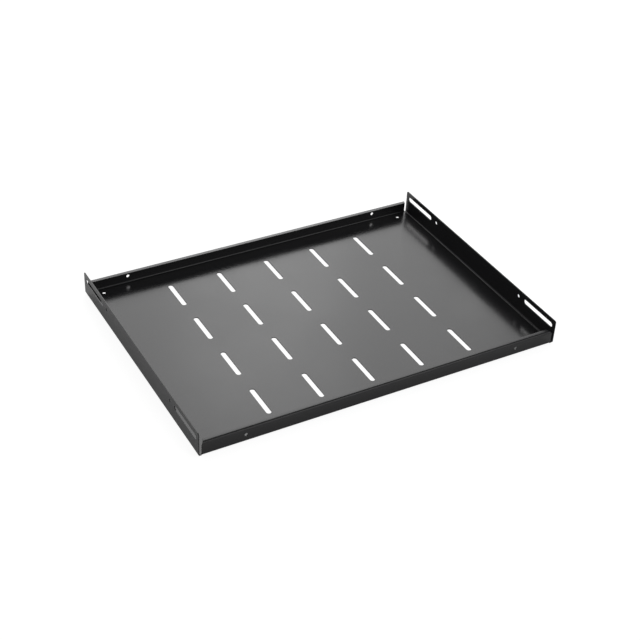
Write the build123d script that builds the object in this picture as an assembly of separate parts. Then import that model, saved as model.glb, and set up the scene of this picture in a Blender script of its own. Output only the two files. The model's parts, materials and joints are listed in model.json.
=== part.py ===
from build123d import *

import os

# A fixed rack shelf folded from one sheet of steel.
# X runs along the front, Y runs from front to back, Z is up.
# The origin is at the middle of the deck's underside. Sizes are in millimetres.

# Outer sizes of the folded tray
width = 490.0  # over the outer faces of the side walls
depth = 352.0  # over the outer faces of the front and back walls
side_height = 33.0  # underside of the deck to the top edge of a side wall
rim_height = 19.0  # underside of the deck to the top of the front and back walls
sheet = 1.2  # thickness of the steel

# Bends
deck_bend_radius = 2.2  # inside radius where a wall rises from the deck
lip_bend_radius = 2.2  # inside radius where a front or back wall turns into its lip
lip_depth = 7.0  # outer face of the wall to the free edge of its lip

# Open corners, where four walls of one sheet can't meet
corner_gap = 3.0  # between the end of a front or back wall and the side wall
corner_setback = 1.0  # how far the deck's corners stop short of the front or back wall's face
lip_cut_at_bend = 3.0  # how far the end of a lip is cut back where its bend ends
lip_cut_at_edge = 4.6  # the same at the free edge of the lip
side_corner_radius = 2.5  # rounding of the side walls' top corners

# Slots in the deck
slot_length = 49.5
slot_width = 6.5
slot_columns = 5
slot_rows = 4
slot_pitch_x = 70.0
slot_pitch_y = 80.0

# Screw holes near the four corners of the deck
deck_hole_diameter = 4.5
deck_hole_from_side = 21.5
deck_hole_from_end = 11.0

# Mounting slot and screw hole near each end of a side wall
side_slot_length = 59.5
side_slot_width = 6.5
side_slot_from_end = 35.5
side_hole_diameter = 4.5
side_hole_from_end = 77.7
side_row_from_top = 9.7  # both lie on this line below the top edge

# Screw hole near each end of the front and back walls
rim_hole_diameter = 4.3
rim_hole_from_side = 59.0
rim_hole_height = 10.4

# Places that follow from the sizes
half_width = width / 2
half_depth = depth / 2
deck_bend_outer = deck_bend_radius + sheet
lip_bend_outer = lip_bend_radius + sheet
side_inner = half_width - sheet  # inner face of a side wall
rim_end = side_inner - corner_gap  # end of a front or back wall
bend_line = half_depth - deck_bend_outer  # where the deck starts to bend up
side_row_height = side_height - side_row_from_top
past = 1.0  # how far a cutter passes the sheet


def both_sides(place):
    """The place and its mirror image about zero."""
    return (-place, place)


def folded_channel():
    """Deck and side walls as one channel section, extruded from front to back."""
    outer = Pos(0, side_height / 2) * Rectangle(width, side_height)
    outer = fillet(outer.vertices().group_by(Axis.Y)[0], deck_bend_outer)
    inner = Pos(0, side_height / 2 + sheet) * Rectangle(2 * side_inner, side_height)
    inner = fillet(inner.vertices().group_by(Axis.Y)[0], deck_bend_radius)
    section = Plane.XZ * (outer - inner)
    channel = extrude(section, depth / 2, both=True)
    corners = channel.edges().filter_by(Axis.X).group_by(Axis.Z)[-1]
    return fillet(corners, side_corner_radius)


def deck_end_cutter():
    """What the front and back walls take the place of, at the ends of the deck."""
    length = half_depth - bend_line + past
    return Box(2 * rim_end, length, side_height, align=(Align.CENTER, Align.MIN, Align.CENTER))


def bent_outline(reach, tall, lower_radius, upper_radius):
    """A rectangle from the origin with its two corners on the Y axis rounded, each by its bend."""
    outline = Rectangle(reach, tall, align=(Align.MIN, Align.MIN))
    lower = outline.vertices().sort_by_distance((0, 0))[0]
    outline = fillet(lower, lower_radius)
    upper = outline.vertices().sort_by_distance((0, tall))[0]
    return fillet(upper, upper_radius)


def rim_wall():
    """The back wall with its two bends and its lip, as one section extruded along the wall."""
    outer = bent_outline(lip_depth, rim_height, deck_bend_outer, lip_bend_outer)
    inner = bent_outline(lip_depth, rim_height - 2 * sheet, deck_bend_radius, lip_bend_radius)
    section = outer - Pos(sheet, sheet) * inner
    across_wall = Plane(origin=(0, half_depth, 0), x_dir=(0, -1, 0), z_dir=(-1, 0, 0))
    wall = extrude(across_wall * section, rim_end, both=True)
    for end in both_sides(rim_end):
        wall -= lip_end_cutter(end)
    for place in both_sides(half_width - rim_hole_from_side):
        wall -= hole_along_y(place, half_depth, rim_hole_height, rim_hole_diameter)
    return wall


def lip_end_cutter(end):
    """A slanted cut through the lip and its bend, so that the lip folds in clear of the side wall."""
    inward = -1 if end > 0 else 1
    bend_start = Vector(end, half_depth, rim_height - lip_bend_outer)
    bend_end = Vector(end + inward * lip_cut_at_bend, half_depth - lip_bend_outer, rim_height)
    free_edge = Vector(end + inward * lip_cut_at_edge, half_depth - lip_depth, rim_height)
    along = free_edge - bend_end
    outward = (bend_start - bend_end).cross(along) * inward
    cut = Plane(origin=bend_start, x_dir=along, z_dir=outward)
    return extrude(cut * Rectangle(4 * lip_depth, 4 * lip_depth), lip_cut_at_edge + past)


def hole_along_y(x, y, z, diameter):
    """A round cutter through a front or back wall."""
    return Pos(x, y, z) * Rot(90, 0, 0) * Cylinder(diameter / 2, 2 * (sheet + past))


def hole_along_x(x, y, z, diameter):
    """A round cutter through a side wall."""
    return Pos(x, y, z) * Rot(0, 90, 0) * Cylinder(diameter / 2, 2 * (sheet + past))


def corner_notch(x_side):
    """What is cut off a back corner of the deck, between the back wall and a side wall."""
    middle = x_side * (side_inner - corner_gap / 2)
    notch = Box(corner_gap, corner_setback + past, rim_height, align=(Align.CENTER, Align.MAX, Align.CENTER))
    return Pos(middle, half_depth + past, 0) * notch


def deck_slots():
    """The rows of long slots that run from front to back in the deck."""
    slot = SlotOverall(slot_length, slot_width, rotation=90)
    places = GridLocations(slot_pitch_x, slot_pitch_y, slot_columns, slot_rows)
    outline = Sketch() + [place * slot for place in places]
    return extrude(Pos(0, 0, -past) * outline, sheet + 2 * past)


def deck_holes():
    """The screw hole near each corner of the deck."""
    spacing_x = 2 * (half_width - deck_hole_from_side)
    spacing_y = 2 * (half_depth - deck_hole_from_end)
    places = GridLocations(spacing_x, spacing_y, 2, 2)
    outline = Sketch() + [place * Circle(deck_hole_diameter / 2) for place in places]
    return extrude(Pos(0, 0, -past) * outline, sheet + 2 * past)


def side_cutters(x):
    """The mounting slot and the screw hole near each end of one side wall."""
    cutters = []
    for y in both_sides(half_depth - side_slot_from_end):
        slot = SlotOverall(side_slot_length, side_slot_width)
        face = Plane(origin=(x, y, side_row_height), x_dir=(0, 1, 0), z_dir=(1, 0, 0))
        cutters.append(extrude(face * slot, sheet + past, both=True))
    for y in both_sides(half_depth - side_hole_from_end):
        cutters.append(hole_along_x(x, y, side_row_height, side_hole_diameter))
    return cutters


def shelf_tray():
    """The whole shelf, one folded sheet."""
    tray = folded_channel()
    turn = Rot(0, 0, 180)
    deck_end = Pos(0, bend_line, 0) * deck_end_cutter()
    tray -= deck_end
    tray -= turn * deck_end
    back = rim_wall()
    tray += back
    tray += turn * back
    for x_side in both_sides(1):
        notch = corner_notch(x_side)
        tray -= notch
        tray -= turn * notch
    tray -= deck_slots()
    tray -= deck_holes()
    for x in both_sides(half_width - sheet / 2):
        for cutter in side_cutters(x):
            tray -= cutter
    return tray


os.makedirs("parts", exist_ok=True)
shelf = shelf_tray()
export_step(shelf, "parts/shelf_tray.step")
print("solids", len(shelf.solids()), "volume", round(shelf.volume), "size", shelf.bounding_box().size)
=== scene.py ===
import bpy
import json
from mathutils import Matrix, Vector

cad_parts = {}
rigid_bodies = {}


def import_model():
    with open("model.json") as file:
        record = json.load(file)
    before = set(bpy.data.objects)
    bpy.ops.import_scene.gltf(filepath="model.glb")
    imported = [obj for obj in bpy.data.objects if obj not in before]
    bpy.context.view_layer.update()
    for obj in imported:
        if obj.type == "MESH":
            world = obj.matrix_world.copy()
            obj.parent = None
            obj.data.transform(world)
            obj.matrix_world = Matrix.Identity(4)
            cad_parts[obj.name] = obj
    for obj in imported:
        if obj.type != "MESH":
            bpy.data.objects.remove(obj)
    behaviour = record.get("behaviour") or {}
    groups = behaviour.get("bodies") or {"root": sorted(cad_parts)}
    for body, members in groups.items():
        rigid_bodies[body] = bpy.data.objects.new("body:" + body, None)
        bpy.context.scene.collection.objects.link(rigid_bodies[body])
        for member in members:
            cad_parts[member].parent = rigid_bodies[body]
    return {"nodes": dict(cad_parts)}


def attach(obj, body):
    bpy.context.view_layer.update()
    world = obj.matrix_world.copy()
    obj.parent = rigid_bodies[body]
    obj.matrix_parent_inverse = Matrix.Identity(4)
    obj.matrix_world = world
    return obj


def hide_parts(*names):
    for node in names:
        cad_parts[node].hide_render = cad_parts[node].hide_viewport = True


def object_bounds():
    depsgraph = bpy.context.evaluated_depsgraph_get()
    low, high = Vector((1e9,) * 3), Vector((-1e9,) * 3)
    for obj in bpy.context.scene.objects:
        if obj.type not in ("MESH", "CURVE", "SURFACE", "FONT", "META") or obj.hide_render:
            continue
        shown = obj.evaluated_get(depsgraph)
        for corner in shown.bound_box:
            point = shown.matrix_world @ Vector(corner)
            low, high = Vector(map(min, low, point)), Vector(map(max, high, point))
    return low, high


bl_info = {
    "name": "Folded rack shelf",
    "version": (1, 0, 0),
    "blender": (4, 5, 0),
    "location": "3D View > Sidebar > Rack shelf",
    "description": "Finishes a folded sheet-metal rack shelf in black powder coat, with its studio",
    "category": "Object",
}

import json
from math import cos, pi, radians, sin

import bmesh
import bpy
from bpy.props import FloatProperty, FloatVectorProperty, IntProperty, PointerProperty
from mathutils import Matrix, Vector

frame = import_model()
cad_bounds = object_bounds()

MM = 0.001

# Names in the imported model
TRAY_NODE = "shelf_tray"
BODY = "root"

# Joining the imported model's loose triangles into one sheet
JOIN_DISTANCE = 0.002 * MM
FLAT_ANGLE = radians(0.2)
SHARP_ANGLE = radians(40.0)  # an edge that turns by more is a cut edge, not part of a bend

# Where the bend of an end wall parts from that of a side wall, at the inner end of a corner's gap
PARTING_FROM_SIDE = 4.2 * MM
PARTING_WITHIN = 0.2 * MM  # either way
PARTING_FROM_END = 3.7 * MM
PARTING_HEIGHT = 1.9 * MM

# The coat's noise
PEEL_WANDER_SCALE = 0.31  # of the dimples' own number per metre
PEEL_WANDER_SHARE = 0.35
COAT_IOR = 1.5

# The floor and the room
FLOOR_GAP = 0.1 * MM
FLOOR_SHADE = (0.25, 0.25, 0.25, 1.0)  # how much of the light and shadow the camera sees
FLOOR_GLOW = 0.9
WHITE = (1.0, 1.0, 1.0, 1.0)
HORIZON_GLOW = 0.8  # what reflections see of the room, up to HORIZON_TOP
OVERHEAD_GLOW = 0.28  # and from OVERHEAD_START on
HORIZON_TOP = 0.08  # both as the height part of a direction
OVERHEAD_START = 0.35

SENSOR_WIDTH = 36.0  # millimetres
CLIP_END = 100.0  # metres

# Softboxes: name, turn and rise in degrees, then distance, width and height in metres, and radiance
SOFTBOXES = (
    ("back_softbox", 154.3, 36.8, 2.4, 1.75, 1.67, 2.16),
    ("back_strip", 154.7, 30.0, 2.4, 0.48, 1.32, 0.98),
    ("front_softbox", 31.0, 38.0, 2.4, 1.25, 1.0, 1.2),
    ("left_softbox", -90.0, 35.0, 2.4, 1.0, 1.0, 0.3),
)


class RackShelfCoat(bpy.types.PropertyGroup):
    """The powder coat and the soft edges that it gives the sheet."""

    colour: FloatVectorProperty(
        name="Coat colour",
        description="Linear colour of the black powder coat",
        subtype="COLOR",
        size=3,
        min=0.0,
        max=1.0,
        default=(0.0135, 0.0135, 0.0145),
    )
    colour_drift: FloatProperty(
        name="Colour drift",
        description="How much lighter than the coat its palest patches are, as a share",
        subtype="FACTOR",
        min=0.0,
        max=1.0,
        default=0.25,
    )
    roughness: FloatProperty(
        name="Roughness",
        description="Roughness of the semi-gloss coat",
        subtype="FACTOR",
        min=0.0,
        max=1.0,
        default=0.22,
    )
    roughness_drift: FloatProperty(
        name="Roughness drift",
        description="How far the roughness wanders either way over the sheet",
        subtype="FACTOR",
        min=0.0,
        max=0.3,
        default=0.03,
    )
    peel_size: FloatProperty(
        name="Orange peel size",
        description="Distance from one soft dimple of the coat to the next",
        unit="LENGTH",
        min=0.0002,
        default=1.6 * MM,
    )
    peel_depth: FloatProperty(
        name="Orange peel depth",
        description="Height of the dimples, from bottom to top",
        unit="LENGTH",
        min=0.0,
        default=0.006 * MM,
    )
    edge_radius: FloatProperty(
        name="Edge radius",
        description="Rounding that the coat gives the cut edges of the sheet",
        unit="LENGTH",
        min=0.0,
        default=0.12 * MM,
    )
    edge_steps: IntProperty(
        name="Edge steps",
        description="Segments in the rounding of an edge",
        min=1,
        max=6,
        default=3,
    )


class RackShelfStudio(bpy.types.PropertyGroup):
    """The floor, the light and the camera."""

    floor_size: FloatProperty(
        name="Floor size",
        description="Width and depth of the plain floor",
        unit="LENGTH",
        default=30.0,
    )
    floor_colour: FloatVectorProperty(
        name="Floor colour",
        description="Linear colour of the floor where it lights the shelf",
        subtype="COLOR",
        size=3,
        min=0.0,
        max=1.0,
        default=(0.80, 0.80, 0.80),
    )
    floor_in_gloss: FloatProperty(
        name="White floor in gloss",
        description="Share of the floor's plain white that reflections show; the rest is the lit floor",
        subtype="FACTOR",
        min=0.0,
        max=1.0,
        default=0.1,
    )
    room_light: FloatProperty(
        name="Room light",
        description="Strength of the even light from all around",
        min=0.0,
        default=0.4,
    )
    camera_turn: FloatProperty(
        name="Camera turn",
        description="Where the camera stands round the shelf, from straight in front",
        subtype="ANGLE",
        default=radians(-30.592),
    )
    camera_rise: FloatProperty(
        name="Camera rise",
        description="How steeply the camera looks down",
        subtype="ANGLE",
        default=radians(35.925),
    )
    camera_roll: FloatProperty(
        name="Camera roll",
        description="Turn of the camera about its own line of sight",
        subtype="ANGLE",
        default=radians(3.075),
    )
    camera_distance: FloatProperty(
        name="Camera distance",
        description="From the camera to the point that it looks at",
        unit="LENGTH",
        default=1.6823,
    )
    camera_target: FloatVectorProperty(
        name="Camera target",
        description="The point that the camera looks at",
        unit="LENGTH",
        size=3,
        default=(0.00208, -0.00681, 0.0),
    )
    camera_lens: FloatProperty(
        name="Lens",
        description="Focal length in millimetres, on a sensor 36 mm wide",
        default=74.07,
    )


def deselect_all():
    """Leaves nothing selected, so that an operator acts on what is picked next."""
    if bpy.context.object and bpy.context.object.mode != "OBJECT":
        bpy.ops.object.mode_set(mode="OBJECT")
    bpy.ops.object.select_all(action="DESELECT")


def pick(piece):
    """Selects one object alone and makes it the active one."""
    deselect_all()
    piece.select_set(True)
    bpy.context.view_layer.objects.active = piece


def direction(turn, rise):
    """The unit vector that points from the shelf to something at that turn and rise."""
    return Vector((sin(turn) * cos(rise), -cos(turn) * cos(rise), sin(rise)))


def add_node(tree, kind, x, y, **values):
    """A node of that kind at a place in the tree, with its properties set."""
    node = tree.nodes.new(kind)
    node.location = (x, y)
    for key, value in values.items():
        setattr(node, key, value)
    return node


def set_inputs(node, **values):
    """Sets a node's inputs by name, with spaces for underscores."""
    for key, value in values.items():
        node.inputs[key.replace("_", " ")].default_value = value
    return node


def new_group(name, inputs, outputs):
    """An empty shader node group with named inputs and outputs."""
    tree = bpy.data.node_groups.new(name, "ShaderNodeTree")
    for label, kind, default in inputs:
        socket = tree.interface.new_socket(label, in_out="INPUT", socket_type=kind)
        if default is not None:
            socket.default_value = default
    for label, kind in outputs:
        tree.interface.new_socket(label, in_out="OUTPUT", socket_type=kind)
    entry = add_node(tree, "NodeGroupInput", -900, 0)
    leave = add_node(tree, "NodeGroupOutput", 700, 0)
    return tree, entry, leave


def orange_peel_group():
    """Group: the fine, soft dimples of a powder coat, as a height from 0 to 1."""
    tree, entry, leave = new_group(
        "orange_peel",
        [("Vector", "NodeSocketVector", None), ("Dimples Per Metre", "NodeSocketFloat", 600.0)],
        [("Height", "NodeSocketFloat")],
    )
    link = tree.links.new
    dimples = add_node(tree, "ShaderNodeTexNoise", -500, 120)
    set_inputs(dimples, Detail=1.5, Roughness=0.45)
    wander = add_node(tree, "ShaderNodeTexNoise", -500, -180)
    set_inputs(wander, Detail=0.0)
    wider = add_node(tree, "ShaderNodeMath", -700, -180, operation="MULTIPLY")
    wider.inputs[1].default_value = PEEL_WANDER_SCALE
    blend = add_node(tree, "ShaderNodeMix", -100, 0, data_type="FLOAT")
    blend.inputs["Factor"].default_value = PEEL_WANDER_SHARE
    link(entry.outputs["Vector"], dimples.inputs["Vector"])
    link(entry.outputs["Dimples Per Metre"], dimples.inputs["Scale"])
    link(entry.outputs["Vector"], wander.inputs["Vector"])
    link(entry.outputs["Dimples Per Metre"], wider.inputs[0])
    link(wider.outputs[0], wander.inputs["Scale"])
    link(dimples.outputs["Fac"], blend.inputs["A"])
    link(wander.outputs["Fac"], blend.inputs["B"])
    link(blend.outputs["Result"], leave.inputs["Height"])
    return tree


def coat_drift_group():
    """Group: the slow drift of a sprayed coat, as a mask from 0 to 1 that is mostly in between."""
    tree, entry, leave = new_group(
        "coat_drift",
        [("Vector", "NodeSocketVector", None), ("Patches Per Metre", "NodeSocketFloat", 9.0)],
        [("Mask", "NodeSocketFloat")],
    )
    link = tree.links.new
    cloud = add_node(tree, "ShaderNodeTexNoise", -400, 0)
    set_inputs(cloud, Detail=3.0, Roughness=0.55)
    spread = add_node(tree, "ShaderNodeMapRange", 0, 0, interpolation_type="SMOOTHSTEP")
    set_inputs(spread, From_Min=0.3, From_Max=0.7)
    link(entry.outputs["Vector"], cloud.inputs["Vector"])
    link(entry.outputs["Patches Per Metre"], cloud.inputs["Scale"])
    link(cloud.outputs["Fac"], spread.inputs["Value"])
    link(spread.outputs["Result"], leave.inputs["Mask"])
    return tree


def powder_coat_material(coat):
    """Black semi-gloss powder coat with a fine orange peel."""
    material = bpy.data.materials.new("black_powder_coat")
    material.use_nodes = True
    tree = material.node_tree
    tree.nodes.clear()
    link = tree.links.new
    place = add_node(tree, "ShaderNodeTexCoord", -900, 0)
    output = add_node(tree, "ShaderNodeOutputMaterial", 600, 0)
    shader = add_node(tree, "ShaderNodeBsdfPrincipled", 300, 0)
    set_inputs(shader, IOR=COAT_IOR)
    link(shader.outputs["BSDF"], output.inputs["Surface"])

    drift = add_node(tree, "ShaderNodeGroup", -600, 200, node_tree=coat_drift_group())
    link(place.outputs["Object"], drift.inputs["Vector"])

    colour = add_node(tree, "ShaderNodeMix", -200, 300, data_type="RGBA")
    lighter = [min(1.0, part * (1.0 + coat.colour_drift)) for part in coat.colour]
    colour.inputs["A"].default_value = (*coat.colour, 1.0)
    colour.inputs["B"].default_value = (*lighter, 1.0)
    link(drift.outputs["Mask"], colour.inputs["Factor"])
    link(colour.outputs["Result"], shader.inputs["Base Color"])

    gloss = add_node(tree, "ShaderNodeMapRange", -200, 60)
    low = coat.roughness - coat.roughness_drift
    high = coat.roughness + coat.roughness_drift
    set_inputs(gloss, To_Min=low, To_Max=high)
    link(drift.outputs["Mask"], gloss.inputs["Value"])
    link(gloss.outputs["Result"], shader.inputs["Roughness"])

    peel = add_node(tree, "ShaderNodeGroup", -600, -200, node_tree=orange_peel_group())
    peel.inputs["Dimples Per Metre"].default_value = 1.0 / coat.peel_size
    bump = add_node(tree, "ShaderNodeBump", -100, -200)
    set_inputs(bump, Strength=1.0, Distance=coat.peel_depth)
    link(place.outputs["Object"], peel.inputs["Vector"])
    link(peel.outputs["Height"], bump.inputs["Height"])
    link(bump.outputs["Normal"], shader.inputs["Normal"])
    return material


def merged_copy(node_name, name):
    """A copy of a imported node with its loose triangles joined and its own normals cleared."""
    pick(frame["nodes"][node_name])
    bpy.ops.object.duplicate()
    piece = bpy.context.active_object
    piece.name = name
    piece.data.name = name
    bpy.ops.object.parent_clear(type="CLEAR_KEEP_TRANSFORM")
    for key in list(piece.keys()):
        del piece[key]
    bpy.ops.mesh.customdata_custom_splitnormals_clear()
    bpy.ops.object.mode_set(mode="EDIT")
    bpy.ops.mesh.select_all(action="SELECT")
    bpy.ops.mesh.remove_doubles(threshold=JOIN_DISTANCE)
    bpy.ops.mesh.dissolve_limited(angle_limit=FLAT_ANGLE, use_dissolve_boundaries=False)
    bpy.ops.object.mode_set(mode="OBJECT")
    return piece


def at_parting(vert):
    """Whether a vertex is where two bends part at a corner of the deck."""
    high = cad_bounds[1]
    from_side = high[0] - abs(vert.co.x)
    from_end = high[1] - abs(vert.co.y)
    beside_gap = abs(from_side - PARTING_FROM_SIDE) < PARTING_WITHIN
    return beside_gap and from_end < PARTING_FROM_END and vert.co.z < PARTING_HEIGHT


def mark_cut_edges(piece):
    """Gives the sheet's sharp outer edges a bevel weight, but not where two bends part at a corner."""
    mesh = bmesh.new()
    mesh.from_mesh(piece.data)
    weight = mesh.edges.layers.float.new("bevel_weight_edge")
    for edge in mesh.edges:
        if not edge.is_manifold or edge.calc_face_angle() < SHARP_ANGLE:
            continue
        stays_sharp = not edge.is_convex or any(at_parting(vert) for vert in edge.verts)
        edge.smooth = not stays_sharp
        edge[weight] = 0.0 if stays_sharp else 1.0
    mesh.to_mesh(piece.data)
    mesh.free()


class RACKSHELF_OT_tray(bpy.types.Operator):
    """Makes the folded shelf's visible sheet, with softened edges and its powder coat"""

    bl_idname = "rack_shelf.tray"
    bl_label = "Finish the shelf"

    def execute(self, context):
        coat = context.scene.rack_shelf_coat
        tray = merged_copy(TRAY_NODE, "folded_shelf")
        bpy.ops.object.shade_smooth()
        mark_cut_edges(tray)
        soften = tray.modifiers.new("soft_edges", "BEVEL")
        soften.width = coat.edge_radius
        soften.segments = coat.edge_steps
        soften.limit_method = "WEIGHT"
        soften.use_clamp_overlap = False
        soften.harden_normals = True
        soften.miter_outer = "MITER_ARC"
        bpy.ops.object.modifier_apply(modifier=soften.name)
        tray.data.materials.clear()
        tray.data.materials.append(powder_coat_material(coat))
        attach(tray, BODY)
        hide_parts(TRAY_NODE)
        return {"FINISHED"}


def floor_material(studio):
    """A plain pale floor that the camera and reflections see as white, with a soft shadow."""
    material = bpy.data.materials.new("studio_floor")
    material.use_nodes = True
    tree = material.node_tree
    tree.nodes.clear()
    link = tree.links.new
    rays = add_node(tree, "ShaderNodeLightPath", -900, 300)
    output = add_node(tree, "ShaderNodeOutputMaterial", 600, 0)
    mirrored = add_node(tree, "ShaderNodeMath", -700, 200, operation="MULTIPLY")
    mirrored.inputs[1].default_value = studio.floor_in_gloss
    seen = add_node(tree, "ShaderNodeMath", -450, 300, operation="MAXIMUM")
    seen_through = add_node(tree, "ShaderNodeMath", -250, 300, operation="MAXIMUM")
    link(rays.outputs["Is Glossy Ray"], mirrored.inputs[0])
    link(rays.outputs["Is Camera Ray"], seen.inputs[0])
    link(mirrored.outputs[0], seen.inputs[1])
    link(seen.outputs[0], seen_through.inputs[0])
    link(rays.outputs["Is Transmission Ray"], seen_through.inputs[1])

    lit = add_node(tree, "ShaderNodeBsdfDiffuse", -250, 0)
    lit.inputs["Color"].default_value = (*studio.floor_colour, 1.0)
    shaded = add_node(tree, "ShaderNodeBsdfDiffuse", -250, -150)
    shaded.inputs["Color"].default_value = FLOOR_SHADE
    white = add_node(tree, "ShaderNodeEmission", -250, -300)
    white.inputs["Strength"].default_value = FLOOR_GLOW
    backdrop = add_node(tree, "ShaderNodeAddShader", 0, -200)
    link(shaded.outputs[0], backdrop.inputs[0])
    link(white.outputs[0], backdrop.inputs[1])
    mix = add_node(tree, "ShaderNodeMixShader", 300, 0)
    link(seen_through.outputs[0], mix.inputs[0])
    link(lit.outputs[0], mix.inputs[1])
    link(backdrop.outputs[0], mix.inputs[2])
    link(mix.outputs[0], output.inputs["Surface"])
    return material


def add_floor(studio):
    """The plain floor, just under the shelf."""
    deselect_all()
    bpy.ops.mesh.primitive_plane_add(size=studio.floor_size, location=(0, 0, -FLOOR_GAP))
    floor = bpy.context.active_object
    floor.name = "floor"
    floor.data.materials.append(floor_material(studio))
    bpy.ops.object.transform_apply(location=True, rotation=True, scale=True)


def add_softbox(name, turn, rise, distance, width, height, radiance):
    """A rectangular soft light that faces the shelf from that direction."""
    place = direction(radians(turn), radians(rise)) * distance
    deselect_all()
    bpy.ops.object.light_add(type="AREA", location=place)
    lamp = bpy.context.active_object
    lamp.name = name
    lamp.rotation_euler = (-place).to_track_quat("-Z", "Y").to_euler()
    lamp.data.shape = "RECTANGLE"
    lamp.data.size = width
    lamp.data.size_y = height
    lamp.data.energy = radiance * pi * width * height


def add_room_light(studio):
    """Even light from all around, plain white to the camera; in reflections it dims overhead."""
    world = bpy.data.worlds.new("studio_room")
    bpy.context.scene.world = world
    world.use_nodes = True
    tree = world.node_tree
    tree.nodes.clear()
    link = tree.links.new
    rays = add_node(tree, "ShaderNodeLightPath", -700, 300)
    mirrored = add_node(tree, "ShaderNodeMath", -450, 300, operation="MAXIMUM")
    link(rays.outputs["Is Glossy Ray"], mirrored.inputs[0])
    link(rays.outputs["Is Transmission Ray"], mirrored.inputs[1])

    place = add_node(tree, "ShaderNodeTexCoord", -900, 0)
    parts = add_node(tree, "ShaderNodeSeparateXYZ", -700, 0)
    backdrop = add_node(tree, "ShaderNodeMapRange", -450, 0, interpolation_type="SMOOTHSTEP")
    set_inputs(backdrop, From_Min=HORIZON_TOP, From_Max=OVERHEAD_START)
    set_inputs(backdrop, To_Min=HORIZON_GLOW, To_Max=OVERHEAD_GLOW)
    link(place.outputs["Generated"], parts.inputs[0])
    link(parts.outputs["Z"], backdrop.inputs["Value"])

    strength = add_node(tree, "ShaderNodeMix", -200, 100, data_type="FLOAT")
    strength.inputs["A"].default_value = studio.room_light
    link(mirrored.outputs[0], strength.inputs["Factor"])
    link(backdrop.outputs["Result"], strength.inputs["B"])
    white = add_node(tree, "ShaderNodeMath", 0, 200, operation="MAXIMUM")
    link(strength.outputs["Result"], white.inputs[0])
    link(rays.outputs["Is Camera Ray"], white.inputs[1])
    room = add_node(tree, "ShaderNodeBackground", 250, 0)
    room.inputs["Color"].default_value = WHITE
    output = add_node(tree, "ShaderNodeOutputWorld", 500, 0)
    link(white.outputs[0], room.inputs["Strength"])
    link(room.outputs[0], output.inputs["Surface"])


def add_camera(studio):
    """The camera, at the photograph's angle and distance."""
    back = direction(studio.camera_turn, studio.camera_rise)
    right = (-back).cross(Vector((0, 0, 1))).normalized()
    up = back.cross(right)
    axes = Matrix((right, up, back)).transposed()
    axes = axes @ Matrix.Rotation(studio.camera_roll, 3, "Z")
    place = Vector(studio.camera_target) + back * studio.camera_distance
    deselect_all()
    bpy.ops.object.camera_add(location=place, rotation=axes.to_euler())
    camera = bpy.context.active_object
    camera.name = "photo_camera"
    camera.data.sensor_width = SENSOR_WIDTH
    camera.data.lens = studio.camera_lens
    camera.data.clip_end = CLIP_END
    bpy.context.scene.camera = camera


class RACKSHELF_OT_studio(bpy.types.Operator):
    """Sets up the plain pale floor, the soft lights and the camera"""

    bl_idname = "rack_shelf.studio"
    bl_label = "Set up the studio"

    def execute(self, context):
        studio = context.scene.rack_shelf_studio
        context.scene.view_settings.view_transform = "Standard"
        add_floor(studio)
        add_room_light(studio)
        for softbox in SOFTBOXES:
            add_softbox(*softbox)
        add_camera(studio)
        return {"FINISHED"}


class RACKSHELF_PT_panel(bpy.types.Panel):
    """Sizes, colours and steps of the rack shelf"""

    bl_idname = "RACKSHELF_PT_panel"
    bl_label = "Rack shelf"
    bl_space_type = "VIEW_3D"
    bl_region_type = "UI"
    bl_category = "Rack shelf"

    def draw(self, context):
        layout = self.layout
        for settings in (context.scene.rack_shelf_coat, context.scene.rack_shelf_studio):
            column = layout.column()
            for name in settings.__annotations__:
                column.prop(settings, name)
        layout.operator(RACKSHELF_OT_tray.bl_idname)
        layout.operator(RACKSHELF_OT_studio.bl_idname)


CLASSES = (
    RackShelfCoat,
    RackShelfStudio,
    RACKSHELF_OT_tray,
    RACKSHELF_OT_studio,
    RACKSHELF_PT_panel,
)


def register():
    for cls in CLASSES:
        bpy.utils.register_class(cls)
    bpy.types.Scene.rack_shelf_coat = PointerProperty(type=RackShelfCoat)
    bpy.types.Scene.rack_shelf_studio = PointerProperty(type=RackShelfStudio)


def unregister():
    del bpy.types.Scene.rack_shelf_studio
    del bpy.types.Scene.rack_shelf_coat
    for cls in reversed(CLASSES):
        bpy.utils.unregister_class(cls)


def main():
    register()
    bpy.ops.rack_shelf.tray()
    bpy.ops.rack_shelf.studio()


if __name__ == "__main__":
    main()
